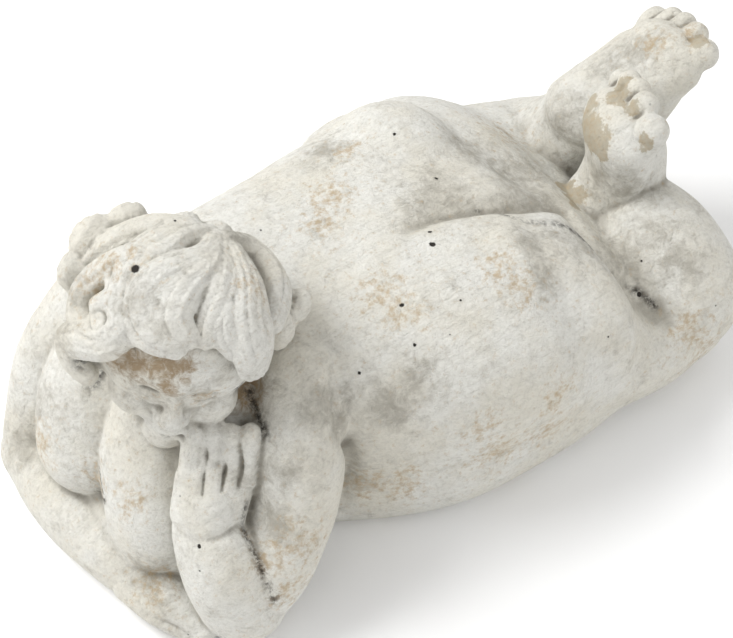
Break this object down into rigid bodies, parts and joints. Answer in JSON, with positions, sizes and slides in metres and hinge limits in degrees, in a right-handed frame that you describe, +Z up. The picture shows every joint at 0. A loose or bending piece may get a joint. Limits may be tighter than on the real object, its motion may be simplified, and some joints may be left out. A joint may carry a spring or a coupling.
{
  "type": "figurine",
  "caption": "Garden figurine of a plump lady lying on her front, chin on one hand and feet kicked up, cast as one solid piece of weathered off-white cement",
  "frame": {"origin": "Middle of the footprint's bounding box, at the height of the flat underside", "axes": "+Z up; head towards -X and knees towards +X, her left side towards -Y"},
  "size_m": [0.37, 0.1986, 0.1762],
  "materials": {
    "weathered_cement": "rough off-white whitewash over grey-tan cement"
  },
  "bodies": {
    "root": {"lady_figurine": "weathered_cement"}
  },
  "joints": []
}
